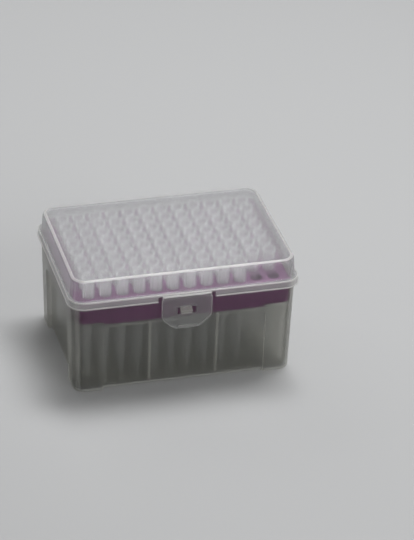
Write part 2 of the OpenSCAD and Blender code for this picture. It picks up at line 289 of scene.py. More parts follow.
class Builder:
    """Collects the faces of one mesh."""

    def __init__(self) -> None:
        """Starts an empty mesh."""
        self.bm = bmesh.new()

    def loop(self, points: Iterable[Vector]) -> Loop:
        """Adds the points and returns their vertices."""
        return [self.bm.verts.new(point) for point in points]

    def bridge(self, low: Loop, high: Loop, face: Face = Face.WALL) -> None:
        """Joins two closed loops of the same length with quads of one finish."""
        for corners in zip(low, low[1:] + low[:1], high[1:] + high[:1], high):
            self.bm.faces.new(corners).material_index = face.value

    def chain(self, loops: Sequence[Loop]) -> None:
        """Joins loops one after the other."""
        for low, high in zip(loops, loops[1:]):
            self.bridge(low, high)

    def loft(self, rings: Sequence[Ring], steps: int) -> "Builder":
        """Adds a closed solid through rings, from its lower cap to its upper one.

        Args:
            rings: The outlines, in order.
            steps: Number of faces in each corner of an outline.

        Returns:
            This builder.
        """
        loops = [self.loop(ring.points(steps)) for ring in rings]
        self.chain(loops)
        return self.cap(loops[0], loops[-1])

    def cap(self, low: Loop, high: Loop, face: Face = Face.WALL) -> "Builder":
        """Closes both ends of a wall.

        Args:
            low: The loop that the wall starts from.
            high: The loop that it ends at.
            face: The finish of the two caps.

        Returns:
            This builder.
        """
        for loop in (list(reversed(low)), high):
            self.bm.faces.new(loop).material_index = face.value
        return self

    def prism(
        self, outline: Sequence[Plan], start: float, end: float, turn: Matrix, sides: Face = Face.WALL
    ) -> "Builder":
        """Adds an outline extruded along its own Z and then placed.

        Args:
            outline: Points in the outline's own plane, counter-clockwise.
            start: Where the extrusion starts.
            end: Where it ends.
            turn: The placing matrix.
            sides: The finish of the faces along the extrusion.

        Returns:
            This builder.
        """
        low = self.loop(turn @ Vector((x, y, start)) for x, y in outline)
        high = self.loop(turn @ Vector((x, y, end)) for x, y in outline)
        self.bridge(low, high, sides)
        return self.cap(low, high)

    def block(self, low: Sequence[float], high: Sequence[float]) -> "Builder":
        """Adds a box between two corners and returns this builder."""
        return self.prism(rectangle(low[:2], high[:2]), low[2], high[2], Matrix.Identity(4))

    def bar(self, outline: Sequence[Plan], middle: float, width: float, sides: Face = Face.WALL) -> "Builder":
        """Adds an outline drawn in Y and Z, extruded along X about a middle, and returns this builder."""
        return self.prism(outline, middle - width / 2, middle + width / 2, ALONG_X, sides)

    def revolve(self, profile: Sequence[Plan], segments: int, finishes: Sequence[Face]) -> None:
        """Adds a closed half section turned about Z.

        Args:
            profile: The section as (radius, height).
            segments: Number of faces round it.
            finishes: The finish of the face that follows each point of the section.
        """
        around = circle((0, 0), 1, segments)
        loops = [self.loop(Vector((x * r, y * r, z)) for x, y in around) for r, z in profile]
        for low, high, face in zip(loops, loops[1:] + loops[:1], finishes):
            self.bridge(low, high, face)

    def copy(self, mesh: bpy.types.Mesh, place: Sequence[float]) -> None:
        """Adds a copy of a mesh.

        Args:
            mesh: The mesh.
            place: Where its origin comes to lie.
        """
        start = len(self.bm.verts)
        self.bm.from_mesh(mesh)
        self.bm.verts.ensure_lookup_table()
        bmesh.ops.translate(self.bm, vec=place, verts=self.bm.verts[start:])

    def merge(self) -> None:
        """Merges points that meet."""
        bmesh.ops.remove_doubles(self.bm, verts=self.bm.verts, dist=MEET)

    def tidy(self) -> "Builder":
        """Merges points that meet and turns every face outwards.

        Returns:
            This builder.
        """
        self.merge()
        bmesh.ops.recalc_face_normals(self.bm, faces=self.bm.faces)
        return self

    def to_mesh(self, name: str) -> bpy.types.Mesh:
        """Ends the mesh, after which the builder is used up.

        Args:
            name: The mesh's name.

        Returns:
            The mesh, in millimetres.
        """
        self.bm.normal_update()
        mesh = bpy.data.meshes.new(name)
        self.bm.to_mesh(mesh)
        self.bm.free()
        return mesh

    def to_object(self, name: str) -> Piece:
        """Ends the mesh and puts it in the scene as an object.

        Args:
            name: The object's name.

        Returns:
            The object, in millimetres.
        """
        obj = bpy.data.objects.new(name, self.to_mesh(name))
        bpy.context.scene.collection.objects.link(obj)
        return obj


def carve(obj: Piece, tool: Builder | Piece, cut: Cut) -> None:
    """Takes a tool away from a solid, or joins it on, and deletes the tool.

    Args:
        obj: The solid.
        tool: The tool.
        cut: Whether it is taken away or joined on.
    """
    other = tool.to_object("tool") if isinstance(tool, Builder) else tool
    modifier = obj.modifiers.new("carve", "BOOLEAN")
    modifier.operation = cut.value
    modifier.solver = "EXACT"
    modifier.object = other
    view = bpy.context.evaluated_depsgraph_get()
    mesh = bpy.data.meshes.new_from_object(obj.evaluated_get(view))
    old = obj.data
    obj.modifiers.clear()
    obj.data = mesh
    bpy.data.meshes.remove(old)
    bpy.data.objects.remove(other)


def add_island(obj: Piece, island: Builder, finish: Face) -> None:
    """Adds a closed solid that overlaps a piece, so that the plastic looks as thick there as it is.

    Args:
        obj: The piece.
        island: The solid.
        finish: Its finish.
    """
    for face in island.bm.faces:
        face.material_index = finish.value
    mesh = island.to_mesh("island")
    merged = bmesh.new()
    merged.from_mesh(obj.data)
    merged.from_mesh(mesh)
    merged.to_mesh(obj.data)
    merged.free()
    bpy.data.meshes.remove(mesh)


def hand_over(obj: Piece, body: Body, slot: Slot, materials: Sequence[Material], *nodes: str) -> None:
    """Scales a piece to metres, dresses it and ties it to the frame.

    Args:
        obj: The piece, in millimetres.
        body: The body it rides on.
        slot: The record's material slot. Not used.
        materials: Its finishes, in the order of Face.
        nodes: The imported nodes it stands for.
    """
    obj.data.transform(Matrix.Scale(MM, 4))
    indices = [polygon.material_index for polygon in obj.data.polygons]
    obj.data.materials.clear()
    for material in materials:
        obj.data.materials.append(material)
    obj.data.polygons.foreach_set("material_index", indices)
    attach(obj, body.value)
    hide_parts(*nodes)
    log.info("%s: %d faces on %s", obj.name, len(obj.data.polygons), body.value)


def shade_smooth(mesh: bpy.types.Mesh) -> None:
    """Shades every face of a mesh smooth."""
    mesh.polygons.foreach_set("use_smooth", [True] * len(mesh.polygons))


def soften_edges(obj: Piece, width: float) -> None:
    """Rounds the edges of a moulding, after it is in metres, and gives the rounding the edge finish: painted
    glow along every edge.

    Args:
        obj: The piece.
        width: How wide the rounding is, in millimetres.
    """
    shade_smooth(obj.data)
    bevel = obj.modifiers.new("edge_rounding", "BEVEL")
    bevel.width = width * MM
    bevel.segments = 3
    bevel.limit_method = "ANGLE"
    bevel.angle_limit = EDGE_ANGLE
    bevel.harden_normals = True
    # The rounding takes the edge finish: painted glow.
    bevel.material = Face.EDGE.value
    bevel.miter_outer = "MITER_ARC"


def smooth_by_angle(obj: Piece, angle: float) -> None:
    """Shades a mesh smooth but keeps edges sharper than the angle, in degrees, crisp."""
    shade_smooth(obj.data)
    obj.data.set_sharp_from_angle(angle=math.radians(angle))


# ---- Finishes ----

GRAIN_DEPTH = 0.2 * MM


class Marked(NamedTuple):
    """What the moulding marks give a finish: slow clouds, a colour and a normal."""

    cloud: Socket
    colour: Socket
    normal: Socket


class Graph:
    """A short way to add and link the nodes of one tree."""

    def __init__(self, tree: Tree) -> None:
        """Wraps a tree."""
        self.tree = tree

    def add(self, kind: str, inputs: dict | None = None, **settings: object) -> bpy.types.Node:
        """Adds a node.

        Args:
            kind: The node's type, without ShaderNode in front of it.
            inputs: Socket name or number to a value or to the socket that feeds it.
            settings: Properties of the node.

        Returns:
            The new node.
        """
        node = self.tree.nodes.new(kind if kind.startswith("Node") else f"ShaderNode{kind}")
        for key, value in settings.items():
            setattr(node, key, value)
        for key, value in (inputs or {}).items():
            if isinstance(value, Socket):
                self.tree.links.new(value, node.inputs[key])
            else:
                node.inputs[key].default_value = value
        return node

    def math(self, operation: str, *values: object) -> Socket:
        """Adds a Math node and returns its output."""
        return self.add("Math", dict(enumerate(values)), operation=operation).outputs[0]

    def mix(self, share: object, first: Socket, second: Socket) -> Socket:
        """Mixes two shaders, with the share of the second one, and returns the result."""
        return self.add("MixShader", {0: share, 1: first, 2: second}).outputs[0]

    def marked(self, marks: Tree, scales: Plan, colours: tuple[Colour, Colour], grain: float) -> Marked:
        """Adds the moulding marks.

        Args:
            marks: The shared node group of moulding marks.
            scales: How fine the clouds and the grain are.
            colours: The colours that the clouds vary between.
            grain: How strong the grain is.

        Returns:
            The clouds, the colour and the normal.
        """
        flow = self.add("Group", {}, node_tree=marks)
        flow.inputs["Cloud Scale"].default_value, flow.inputs["Grain Scale"].default_value = scales
        cloud = flow.outputs["Cloud"]
        low, high = ((*colour, 1.0) for colour in colours)
        shade = self.add("Mix", {"Factor": cloud, "A": low, "B": high}, data_type="RGBA").outputs["Result"]
        height = {"Height": flow.outputs["Grain"], "Strength": grain, "Distance": GRAIN_DEPTH}
        return Marked(cloud, shade, self.add("Bump", height).outputs[0])

    def end(self, surface: Socket) -> None:
        """Adds the material's output."""
        self.add("OutputMaterial", {"Surface": surface})


def new_material(name: str) -> tuple[Material, Graph]:
    """Starts an empty material.

    Args:
        name: The material's name.

    Returns:
        The material, and the graph that fills it.
    """
    material = bpy.data.materials.new(name)
    material.use_nodes = True
    material.node_tree.nodes.clear()
    return material, Graph(material.node_tree)


def flow_group() -> Tree:
    """Makes the marks of moulded plastic: slow clouds in the melt and a fine grain from the mould.

    Returns:
        The node group.
    """
    group = bpy.data.node_groups.new("moulding_flow", "ShaderNodeTree")
    for label in ("Cloud", "Grain"):
        group.interface.new_socket(f"{label} Scale", in_out="INPUT", socket_type="NodeSocketFloat")
        group.interface.new_socket(label, in_out="OUTPUT", socket_type="NodeSocketFloat")
    graph = Graph(group)
    inside = graph.add("NodeGroupInput")
    place = graph.add("TexCoord").outputs["Object"]
    clouds = {"Vector": place, "Scale": inside.outputs["Cloud Scale"], "Detail": 2.0, "Distortion": 0.6}
    grains = {"Vector": place, "Scale": inside.outputs["Grain Scale"], "Detail": 1.0}
    cloud = graph.add("TexNoise", clouds).outputs["Fac"]
    grain = graph.add("TexNoise", grains).outputs["Fac"]
    graph.add("NodeGroupOutput", {"Cloud": cloud, "Grain": grain})
    return group


@dataclass(frozen=True)
class ClearPlastic:
    """Natural polypropylene: see-through, with a milky haze that thickens where a wall is seen at a slant.

    Attributes:
        milk: Colour of the haze.
        thin: Share of haze on a face that is seen head on.
        slant: Share of haze on a face that is seen from its edge.
        rise: How late the haze thickens between the two.
        passed: Share of light that goes on through a face.
        glow: Share of the haze that lets light out on the far side.
        scattered_on: Share of the haze that doesn't stop lamp light.
        skin_roughness: How rough the haze's own skin is.
        frost: Share of what is seen through a face that is blurred.
        grazing_gloss: What a reflection gains towards the edge.
        grain: Strength of the mould's grain.
        mark_scales: How fine the clouds and the grain are.
        cloud_shade: How bright the darkest clouds are, as a share of the haze's colour.
    """

    name: str
    milk: Colour
    thin: float
    slant: float
    rise: float = 2.0
    passed: float = 0.94
    tint: Colour = (1.0, 1.0, 1.0)
    glow: float = 0.35
    scattered_on: float = 0.85
    skin_roughness: float = 0.35
    frost: float = 0.0
    frost_roughness: float = 0.45
    frost_ior: float = 1.2
    gloss_roughness: float = 0.16
    head_on_gloss: float = 0.025
    grazing_gloss: float = 0.45
    gloss_rise: float = 5.0
    grain: float = 0.05
    mark_scales: Plan = (28.0, 500.0)
    cloud_shade: float = 0.93

    def haze(self, graph: Graph, facing: Socket, lamp: Socket) -> Socket:
        """How much of a face is milk, from how slanted it is seen, and less of it for lamp light.

        Args:
            graph: The material's graph.
            facing: How slanted the face is seen.
            lamp: Whether the light comes straight from a lamp.

        Returns:
            The share of milk.
        """
        rise = graph.math("POWER", facing, self.rise)
        seen = graph.math("MULTIPLY_ADD", rise, self.slant - self.thin, self.thin)
        return graph.math("MULTIPLY", seen, graph.math("MULTIPLY_ADD", lamp, -self.scattered_on, 1.0))

    def gloss(self, graph: Graph, facing: Socket) -> Socket:
        """How much of a face is a reflection, from how slanted it is seen."""
        rise = graph.math("POWER", facing, self.gloss_rise)
        return graph.math("MULTIPLY_ADD", rise, self.grazing_gloss, self.head_on_gloss)

    def sight(self, graph: Graph, lamp: Socket) -> Socket:
        """What lets sight through: clear, and blurred in part where the plastic is frosted.

        Args:
            graph: The material's graph.
            lamp: Whether the light comes straight from a lamp.

        Returns:
            The shader.
        """
        passed = (*(self.passed * channel for channel in self.tint), 1.0)
        clear = graph.add("BsdfTransparent", {"Color": passed}).outputs[0]
        if not self.frost:
            return clear
        blur = {"Color": passed, "Roughness": self.frost_roughness, "IOR": self.frost_ior}
        frosted = graph.add("BsdfRefraction", blur).outputs[0]
        return graph.mix(graph.math("MULTIPLY_ADD", lamp, -self.frost, self.frost), clear, frosted)

    def build(self, marks: Tree) -> Material:
        """Makes the material.

        Args:
            marks: The shared node group of moulding marks.

        Returns:
            The new material.
        """
        material, graph = new_material(self.name)
        cloudy = tuple(self.cloud_shade * channel for channel in self.milk)
        mark = graph.marked(marks, self.mark_scales, (cloudy, self.milk), self.grain)
        facing = graph.add("LayerWeight", {"Blend": 0.5}).outputs["Facing"]
        lamp = graph.add("LightPath").outputs["Is Shadow Ray"]
        satin = {"Base Color": mark.colour, "Roughness": self.skin_roughness, "Normal": mark.normal}
        skin = graph.add("BsdfPrincipled", satin).outputs[0]
        lit_through = graph.add("BsdfTranslucent", {"Color": (*self.milk, 1.0)}).outputs[0]
        shine = graph.add("BsdfGlossy", {"Roughness": self.gloss_roughness, "Normal": mark.normal}).outputs[0]
        haze = graph.mix(self.glow, skin, lit_through)
        wall = graph.mix(self.haze(graph, facing, lamp), self.sight(graph, lamp), haze)
        graph.end(graph.mix(self.gloss(graph, facing), wall, shine))
        return material


@dataclass(frozen=True)
class TintedPlastic:
    """Solid coloured polypropylene with a satin skin."""

    name: str
    colour: Colour
    pale: Colour
    roughness: float = 0.38
    cloud_roughness: float = 0.12
    grain: float = 0.08
    mark_scales: Plan = (45.0, 900.0)

    def build(self, marks: Tree) -> Material:
        """Makes the material.

        Args:
            marks: The shared node group of moulding marks.

        Returns:
            The new material.
        """
        material, graph = new_material(self.name)
        mark = graph.marked(marks, self.mark_scales, (self.colour, self.pale), self.grain)
        smoothest = self.roughness - self.cloud_roughness / 2
        rough = graph.math("ADD", graph.math("MULTIPLY", mark.cloud, self.cloud_roughness), smoothest)
        skin = {"Base Color": mark.colour, "Roughness": rough, "Normal": mark.normal}
        graph.end(graph.add("BsdfPrincipled", skin).outputs[0])
        return material


BOX_PLASTIC = ClearPlastic(
    "box_polypropylene",
    (0.84, 0.85, 0.78),
    thin=0.018,
    slant=0.7,
    rise=3.0,
    passed=0.855,
    tint=(1.0, 1.0, 0.986),
    frost=0.6,
    frost_roughness=0.5,
    head_on_gloss=0.015,
)
# A milkier, brighter copy of the box plastic for its rounded edges, the foot and the recesses' sides: painted
# glow.
BOX_EDGE_GLOW = ClearPlastic("box_edge_glow", (0.94, 0.94, 0.89), thin=0.55, slant=0.92, passed=0.93)
BOX_RIB = ClearPlastic("box_rib", (0.90, 0.90, 0.85), thin=0.28, slant=0.85, passed=0.9)
LID_PLASTIC = ClearPlastic(
    "lid_polypropylene",
    (0.90, 0.92, 0.93),
    thin=0.13,
    slant=0.5,
    rise=1.8,
    passed=0.92,
    frost=0.3,
    frost_roughness=0.2,
    gloss_roughness=0.12,
)
LID_TOP = replace(
    LID_PLASTIC,
    name="lid_top",
    thin=0.12,
    slant=0.285,
    rise=1.0,
    frost=0.6,
    frost_roughness=0.26,
    frost_ior=1.32,
)
# A milkier, brighter copy of the lid plastic for the rounded edges, the skirt's bead and the flap's outline
# and bend: painted glow and painted highlight lines.
LID_EDGE_GLOW = ClearPlastic(
    "lid_edge_glow", (0.97, 0.97, 0.95), thin=0.75, slant=0.95, glow=0.5, gloss_roughness=0.12, head_on_gloss=0.033
)
LID_SKIRT = ClearPlastic(
    "lid_skirt",
    (0.92, 0.92, 0.91),
    thin=0.33,
    slant=0.8,
    passed=0.92,
    glow=0.5,
    frost=0.5,
    frost_roughness=0.26,
    gloss_roughness=0.12,
)
FLAP_PLASTIC = ClearPlastic(
    "flap_polypropylene",
    (0.88, 0.89, 0.90),
    thin=0.115,
    slant=0.85,
    rise=3.0,
    passed=0.90,
    frost=0.3,
    frost_roughness=0.2,
)
TIP_PLASTIC = ClearPlastic(
    "tip_polypropylene",
    (0.90, 0.91, 0.92),
    thin=0.12,
    slant=0.75,
    rise=2.2,
    passed=0.93,
    glow=0.45,
    gloss_roughness=0.1,
)
TIP_COLLAR = replace(
    TIP_PLASTIC,
    name="tip_collar",
    milk=(0.95, 0.95, 0.96),
    thin=0.25,
    slant=0.92,
    rise=1.8,
    passed=0.97,
    glow=0.5,
)
# A brighter copy of the tip plastic for the mouths: painted bright rims.
TIP_MOUTH_GLOW = replace(TIP_COLLAR, name="tip_mouth_glow", milk=(0.93, 0.93, 0.94), thin=0.45, slant=0.95, rise=2.0)
RACK_PLASTIC = TintedPlastic("rack_polypropylene", (0.135, 0.032, 0.120), (0.160, 0.042, 0.145))


# ---- The clear box ----


@dataclass
class ClearBox:
    """The lower moulding: leaning walls, corner posts, recessed panels, ledge, catch and hinge lugs."""

    layout: Layout
    floor_z: float = 2.4
    foot_h: float = 1.0
    foot_margin: float = 1.0
    bottom_round: float = 1.2
    foot_line_z: float = 2.2
    corner_spread: float = 0.35
    level_normal: float = 0.7
    inner_round: float = 1.6
    post_w: float = 15.0
    recess_front: float = 1.5
    recess_end: float = 2.5
    recess_r: float = 4.5
    ledge_t: float = 1.2
    stiffener_x: float = 18.0
    stiffener_w: float = 1.2
    stiffener_h: float = 0.7
    stiffener_sink: float = 0.3
    catch_w: float = 6.0
    catch_h: float = 3.3
    catch_nose_h: float = 1.32
    catch_root: float = 0.6
    catch_z: float = 43.85
    catch_y: float = -44.6
    edge_w: float = 0.5
    steps: int = 12

    def ring(self, z: float, inset: float = 0.0) -> Ring:
        """The outer outline.

        Args:
            z: Its height.
            inset: How far it is drawn in.

        Returns:
            The outline.
        """
        half_x, half_y = self.layout.box_half(z)
        corner = self.layout.corner - self.bottom_round / 2 * (1 - z / self.layout.rim_z)
        return Ring(half_x, half_y, corner, z).inset(inset, z)

    def walls(self) -> list[tuple[Matrix, float, float]]:
        """The walls, counter-clockwise from the front.

        Returns:
            The placing matrix of each wall, and the half width and the depth of its recess.
        """
        half_x, half_y = self.layout.box_half(0)
        front = (half_y, half_x - self.post_w, self.recess_front)
        end = (half_x, half_y - self.post_w, self.recess_end)
        lean = Matrix.Rotation(QUARTER + self.layout.draft, 4, "X")
        walls = []
        for turn, (reach, half_w, depth) in enumerate((front, end, front, end)):
            matrix = Matrix.Rotation(turn * QUARTER, 4, "Z") @ Matrix.Translation((0, -reach, 0)) @ lean
            walls.append((matrix, half_w, depth))
        return walls

    def arch(self, half_w: float, grow: float = 0.0) -> list[Plan]:
        """Outline of a recess, open below the floor and rounded at its top corners.

        Args:
            half_w: Half the width of the recess.
            grow: How much larger the outline is on every side.

        Returns:
            The points, counter-clockwise.
        """
        top = self.layout.ledge_z - self.ledge_t + grow
        side = half_w + grow
        radius = self.recess_r + grow
        right = arc((side - radius, top - radius), radius, 0, 90, steps=8)
        left = arc((radius - side, top - radius), radius, 90, 180, steps=8)
        return [(-side, -OVER), (side, -OVER), *right, *left]

    def shell(self) -> Piece:
        """The walls and the floor, with the recesses cut and the ledge left inside.

        Returns:
            The shell as an object.
        """
        shared = self.layout
        half_x, half_y = shared.box_half(0)
        outside = [self.ring(rise, inset) for inset, rise in quarter_round(self.bottom_round, steps=6)]
        box = Builder().loft([*outside, self.ring(shared.rim_z)], self.steps).to_object("base_shell")
        bottom = quarter_round(self.inner_round, steps=4)
        inside = [self.ring(self.floor_z + rise, shared.wall + inset) for inset, rise in bottom]
        inside.append(self.ring(shared.rim_z + OVER, shared.wall))
        hollow = Builder().loft(inside, self.steps).to_object("hollow")
        insets, recesses = Builder(), Builder()
        for matrix, half_w, depth in self.walls():
            insets.prism(self.arch(half_w, self.ledge_t), -depth - shared.wall, OVER, matrix, Face.THICK)
            # The recesses' sides take the edge finish: painted bright lines round each arch.
            recesses.prism(self.arch(half_w), -depth, OVER, matrix, Face.EDGE)
        kept = insets.to_object("insets")
        far = (half_x * 2, half_y * 2, shared.rim_z * 2)
        carve(kept, Builder().block((-far[0], -far[1], shared.ledge_z), far), Cut.REMOVE)
        carve(hollow, kept, Cut.REMOVE)
        carve(box, hollow, Cut.REMOVE)
        carve(box, recesses, Cut.REMOVE)
        between_feet = self.post_w + self.foot_margin
        for cut_x, cut_y in ((half_x - between_feet, half_y + OVER), (half_x + OVER, half_y - between_feet)):
            carve(box, Builder().block((-cut_x, -cut_y, -OVER), (cut_x, cut_y, self.foot_h)), Cut.REMOVE)
        self.finish_faces(box)
        return box

    def finish_faces(self, box: Piece) -> None:
        """Gives the foot all round the milkier edge finish, painted glow along the lower edge, and the middle
        of each corner the thick finish, a lighter band.

        Args:
            box: The shell.
        """
        bm = bmesh.new()
        bm.from_mesh(box.data)
        everything = bm.verts[:] + bm.edges[:] + bm.faces[:]
        bmesh.ops.bisect_plane(bm, geom=everything, plane_co=(0, 0, self.foot_line_z), plane_no=(0, 0, 1))
        for face in bm.faces:
            normal, middle = face.normal, face.calc_center_median()
            if abs(normal.z) > self.level_normal:
                continue
            # The foot takes the edge finish: painted glow along the lower edge.
            if middle.z < self.foot_line_z:
                face.material_index = Face.EDGE.value
            elif abs(abs(normal.x) - abs(normal.y)) < self.corner_spread and normal.xy.dot(middle.xy) > 0:
                face.material_index = Face.THICK.value
        bm.to_mesh(box.data)
        bm.free()

    def stiffeners(self) -> Builder:
        """The upright ribs, two inside the front and two inside the rear wall.

        Returns:
            The ribs, not yet joined on.
        """
        ribs = Builder()
        for matrix, _, depth in self.walls()[::2]:
            inside = -depth - self.layout.wall
            for side in (-1, 1):
                left = side * self.stiffener_x - self.stiffener_w / 2
                low = (left, self.floor_z - self.stiffener_sink)
                high = (left + self.stiffener_w, self.layout.ledge_z - self.ledge_t)
                ribs.prism(rectangle(low, high), inside - self.stiffener_h, inside + SINK, matrix)
        return ribs

    def catch(self) -> Builder:
        """The wedge on the front wall that the flap's window snaps over.

        Returns:
            The wedge, not yet joined on.
        """
        wall_y = -self.layout.box_half(self.catch_z)[1]
        top = self.catch_z + self.catch_h
        outline = [
            (wall_y + self.catch_root, self.catch_z),
            (wall_y + self.catch_root, top),
            (wall_y, top),
            (self.catch_y, self.catch_z + self.catch_nose_h),
            (self.catch_y, self.catch_z),
        ]
        return Builder().bar(outline, 0, self.catch_w).tidy()

    def add_lugs(self, box: Piece) -> None:
        """Adds the hinge lugs on the rear wall and the pins between them.

        Args:
            box: The shell.
        """
        shared = self.layout
        y, z = shared.hinge
        wall_y = shared.box_half(shared.rim_z)[1] - shared.wall / 2
        end = arc((y, z), shared.hook_r, -90, 90, steps=16)
        outline = [(wall_y, z - shared.hook_r), *end, (wall_y, z + shared.hook_r)]
        reach = shared.hinge_half - shared.lug_w / 2
        lugs, pins = Builder(), Builder()
        for middle in (-shared.hinge_x, shared.hinge_x):
            for side in (-1, 1):
                lugs.bar(outline, middle + side * reach, shared.lug_w)
            pins.bar(circle((y, z), shared.pin_r, ROUND), middle, 2 * reach)
        carve(box, lugs, Cut.JOIN)
        carve(box, pins, Cut.JOIN)

    def build(self, materials: Sequence[Material]) -> None:
        """Makes the moulding and hands it over.

        Args:
            materials: Its finishes, in the order of Face.
        """
        box = self.shell()
        self.add_lugs(box)
        add_island(box, self.catch(), Face.THICK)
        add_island(box, self.stiffeners(), Face.THICK)
        box.name = "clear_box"
        hand_over(box, Body.BASE, Slot.BOX, materials, "base_box")
        soften_edges(box, self.edge_w)


# ---- The lid ----


def finished(rings: Sequence[Ring], between: Face, after: Face = Face.WALL) -> list[tuple[Ring, Face]]:
    """Pairs rings with the finish of the faces between them, and the last ring with what comes after it."""
    return [(ring, between) for ring in rings[:-1]] + [(rings[-1], after)]


@dataclass
class Lid:
    """The clear dome with its skirt, the cut for the flap and the two hinge hooks."""

    layout: Layout
    skirt_gap_end: float = 0.42
    skirt_gap_front: float = 0.8
    step_end: float = 1.4
    step_front: float = 2.9
    dome_draft: float = math.radians(3)
    dome_r: float = 7.5
    dome_round: float = 2.0
    step_round: float = 0.6
    foot_round: float = 0.45
    bead_r: float = 0.4
    flap_cut_half: float = 15.5
    bend_r: float = 0.5
    bend_gap: float = 0.08
    mouth_share: float = 0.78
    edge_w: float = 0.38
    steps: int = 14

    @property
    def skirt_half(self) -> Plan:
        """Outer half sizes of the skirt.

        Returns:
            The half sizes along X and Y.
        """
        half_x, half_y = self.layout.box_half(self.layout.rim_z)
        wall = self.layout.lid_wall
        return half_x + self.skirt_gap_end + wall, half_y + self.skirt_gap_front + wall

    @property
    def bend(self) -> Plan:
        """The axis that the flap turns about, as its Y and Z."""
        return self.bend_r / 3 - self.skirt_half[1], self.layout.step_under_z - self.bend_r / 2 - PAST

    def skirt_ring(self, z: float, inset: float) -> Ring:
        """An outline of the skirt, drawn in by a distance."""
        corner = self.layout.corner + self.skirt_gap_end + self.layout.lid_wall
        return Ring(*self.skirt_half, corner, z).inset(inset, z)

    def dome_ring(self, z: float, inset: float) -> Ring:
        """An outline of the dome.

        Args:
            z: Its height.
            inset: How far it is drawn in.

        Returns:
            The outline.
        """
        lean = (z - self.layout.step_z) * math.tan(self.dome_draft)
        half_x, half_y = self.skirt_half
        outline = Ring(half_x - self.step_end - lean, half_y - self.step_front - lean, self.dome_r, z)
        return outline.inset(inset, z)

    def outer_rings(self) -> list[tuple[Ring, Face]]:
        """The outside, from the skirt's lower edge to the top.

        Returns:
            The rings, each with the finish of the faces that follow it.
        """
        shared = self.layout
        bead = arc((0, shared.skirt_z + self.bead_r), self.bead_r, -90, 90, steps=6)
        step = quarter_round(self.step_round, steps=4)
        foot = quarter_round(self.foot_round, steps=3)
        top = quarter_round(self.dome_round, steps=8)
        dome = [self.dome_ring(shared.lid_top_z - drop, inset) for drop, inset in top]
        middle = len(dome) // 2
        # The bead, the step's rounding and the upper half of the top's rounding take the edge finish: painted
        # highlight lines and painted glow.
        return [
            *finished([self.skirt_ring(z, -out) for out, z in bead], Face.EDGE, Face.THICK),
            *finished([self.skirt_ring(shared.step_z - drop, inset) for drop, inset in step], Face.EDGE),
            *finished([self.dome_ring(shared.step_z + rise, -out) for out, rise in foot], Face.WALL),
            *finished(dome[:middle], Face.WALL),
            *finished(dome[middle:], Face.EDGE),
        ]

    def inner_rings(self) -> list[Ring]:
        """The inside, from the top down to the skirt's lower edge.

        Returns:
            The rings.
        """
        shared = self.layout
        wall = shared.lid_wall
        top = reversed(quarter_round(self.dome_round - wall / 2, steps=6))
        return [
            *(self.dome_ring(shared.lid_top_z - wall - drop, wall + inset) for drop, inset in top),
            self.dome_ring(shared.step_under_z, wall),
            self.skirt_ring(shared.step_under_z, wall),
            self.skirt_ring(shared.skirt_z, wall),
        ]

    def shell(self) -> Piece:
        """The dome and the skirt as one closed wall.

        Returns:
            The shell as an object.
        """
        builder = Builder()
        rings = self.outer_rings()
        outer = [builder.loop(ring.points(self.steps)) for ring, _ in rings]
        inner = [builder.loop(ring.points(self.steps)) for ring in self.inner_rings()]
        for low, high, (_, face) in zip(outer, outer[1:], rings):
            builder.bridge(low, high, face)
        builder.chain([*inner, outer[0]])
        return builder.cap(inner[0], outer[-1], Face.TOP).tidy().to_object("lid_shell")

    def cut_for_flap(self, lid: Piece) -> None:
        """Cuts the front skirt for the flap and the groove that its bend lies in.

        Args:
            lid: The shell.
        """
        y, z = self.bend
        front, half = -self.skirt_half[1], self.flap_cut_half
        low = (-half, front - OVER, self.layout.skirt_z - OVER)
        high = (half, front + self.layout.lid_wall + PAST, z + self.bend_r / 3)
        carve(lid, Builder().block(low, high), Cut.REMOVE)
        groove = circle((y, z), self.bend_r + self.bend_gap, ROUND)
        carve(lid, Builder().bar(groove, 0, 2 * half), Cut.REMOVE)

    def add_hooks(self, lid: Piece) -> None:
        """Clears the rear skirt round the lugs and adds the hooks that snap over the pins.

        Args:
            lid: The shell.
        """
        shared = self.layout
        y, z = shared.hinge
        inner_y = self.skirt_half[1] - shared.lid_wall
        half_cut = shared.hinge_half + shared.lug_gap
        half_mouth = self.mouth_share * shared.pin_r
        mouth = math.degrees(math.asin(half_mouth / shared.hook_bore_r))
        outer_mouth = math.degrees(math.asin(half_mouth / shared.hook_r))
        hook = arc((y, z), shared.hook_r, -90 + outer_mouth, 270 - outer_mouth, steps=40)
        hook += arc((y, z), shared.hook_bore_r, 270 - mouth, -90 + mouth, steps=32)
        under, top = shared.step_under_z, shared.step_z - PAST
        near, far = y - shared.hook_r / 2, y + shared.hook_r / 2
        low = z + shared.hook_bore_r + PAST
        arm = [(inner_y, under), (near, under), (near, low), (far, low), (far, top), (inner_y, top)]
        cuts, arms, hooks = Builder(), Builder(), Builder()
        for middle in (-shared.hinge_x, shared.hinge_x):
            cuts.block(
                (middle - half_cut, inner_y - PAST, shared.skirt_z - OVER),
                (middle + half_cut, inner_y + shared.lid_wall + OVER, under),
            )
            arms.bar(arm, middle, shared.hook_w)
            hooks.bar(hook, middle, shared.hook_w)
        carve(lid, cuts, Cut.REMOVE)
        carve(lid, arms, Cut.JOIN)
        carve(lid, hooks, Cut.JOIN)

    def build(self, materials: Sequence[Material]) -> None:
        """Makes the moulding and hands it over.

        Args:
            materials: Its finishes, in the order of Face.
        """
        lid = self.shell()
        self.cut_for_flap(lid)
        self.add_hooks(lid)
        lid.name = "clear_lid"
        hand_over(lid, Body.LID, Slot.LID, materials, "lid")
        soften_edges(lid, self.edge_w)


# ---- The latch flap ----


